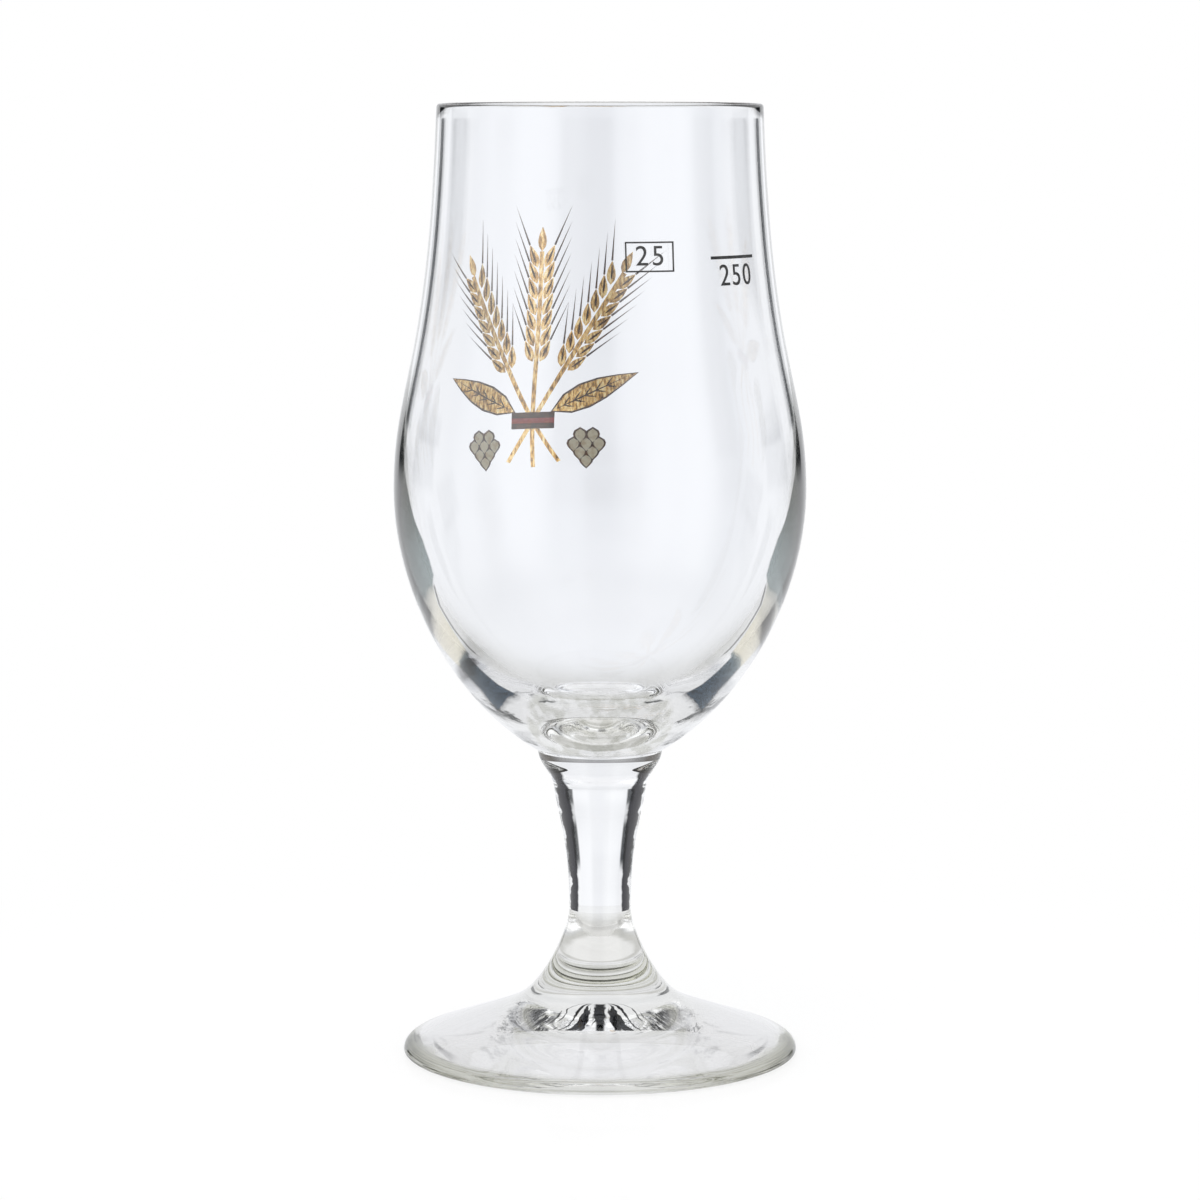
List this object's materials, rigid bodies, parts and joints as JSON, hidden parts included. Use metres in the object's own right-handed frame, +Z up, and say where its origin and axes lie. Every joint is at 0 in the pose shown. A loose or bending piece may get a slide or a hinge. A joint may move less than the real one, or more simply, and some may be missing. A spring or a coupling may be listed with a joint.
{
  "type": "tulip beer glass",
  "caption": "Clear stemmed tulip beer glass: blown bowl with rounded lip, pressed stem, coned foot on a ring, plain fill line and a barley and hop ornament.",
  "frame": {"origin": "centre of the ring that the foot stands on, at table height", "axes": "+Z up along the glass's axis, -Y towards the side from which the fill line is read, +Y towards the ornament"},
  "size_m": [0.0753, 0.0753, 0.1747],
  "materials": {
    "clear_glass": "polished clear soda-lime glass",
    "gold_lustre": "fired bright gold",
    "brown_enamel": "fired glossy enamel",
    "cream_enamel": "fired glossy enamel",
    "red_enamel": "fired glossy enamel",
    "black_enamel": "fired glossy enamel"
  },
  "bodies": {
    "root": {"bowl": "clear_glass", "stem": "clear_glass", "foot": "clear_glass", "gold_print": "gold_lustre", "brown_print": "brown_enamel", "cream_print": "cream_enamel", "red_print": "red_enamel", "fill_line": "black_enamel"}
  },
  "joints": []
}
